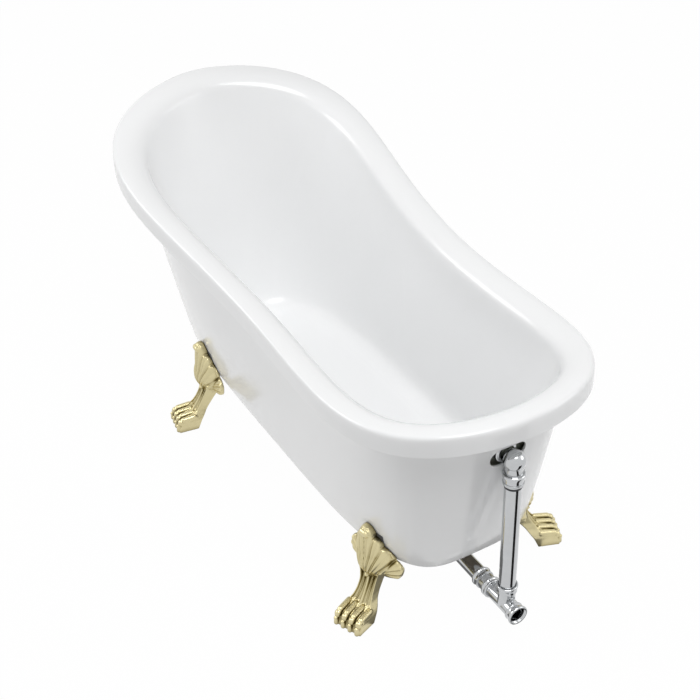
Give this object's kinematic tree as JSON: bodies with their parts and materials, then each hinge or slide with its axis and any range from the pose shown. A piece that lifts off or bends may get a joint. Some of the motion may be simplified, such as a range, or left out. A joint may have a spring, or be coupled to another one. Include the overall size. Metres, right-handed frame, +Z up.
{
  "type": "freestanding slipper bathtub",
  "caption": "Freestanding slipper bath with a rolled rim and skirted shell on cast claw feet, with a drain, stopper, overflow tube and waste tee at the foot end.",
  "frame": {"origin": "on the floor, under the middle of the rim's length and width", "axes": "+X along the bath from the high head end to the foot end with the waste, +Y to the left, +Z up"},
  "size_m": [1.5496, 0.6904, 0.8155],
  "materials": {
    "acrylic": "white high-gloss vacuum-formed acrylic",
    "glass_fibre": "rough sprayed glass-fibre resin",
    "plywood": "sealed plywood",
    "steel": "zinc-plated steel",
    "foot_gold": "champagne-gold plated casting, satin",
    "chrome": "polished chrome plating",
    "rubber": "black rubber",
    "foam": "dark closed-cell foam"
  },
  "bodies": {
    "tub": {"base_board": "plywood", "coupling_nut": "chrome", "coupling_washer": "rubber", "drain_flange": "chrome", "drain_gasket": "rubber", "drain_pipe": "chrome", "drain_shoe": "chrome", "flange_seal": "rubber", "foot_bolts": "steel", "foot_nuts": "steel", "foot_pads": "foam", "foot_washers": "steel", "front_foot_rail": "steel", "front_left_foot": "foot_gold", "front_right_foot": "foot_gold", "glass_fibre_backing": "glass_fibre", "inner_shell": "acrylic", "lower_slip_nut": "chrome", "lower_slip_washer": "rubber", "outer_skirt": "acrylic", "outlet_nut": "chrome", "outlet_washer": "rubber", "overflow_elbow": "chrome", "overflow_faceplate": "chrome", "overflow_gasket": "rubber", "overflow_screws": "chrome", "overflow_tube": "chrome", "pipe_coupling": "chrome", "rail_screws": "steel", "rear_foot_rail": "steel", "rear_left_foot": "foot_gold", "rear_right_foot": "foot_gold", "shoe_slip_nut": "chrome", "shoe_slip_washer": "rubber", "stopper_post": "chrome", "union_nut": "chrome", "upper_slip_nut": "chrome", "upper_slip_washer": "rubber", "waste_tee": "chrome"},
    "stopper": {"stopper_cap": "chrome", "stopper_seal": "rubber", "stopper_stem": "chrome"}
  },
  "joints": [
    {"name": "stopper_slide", "type": "slide", "parent": "tub", "child": "stopper", "axis": [0, 0, 1], "range_m": [0, 0.01]}
  ]
}
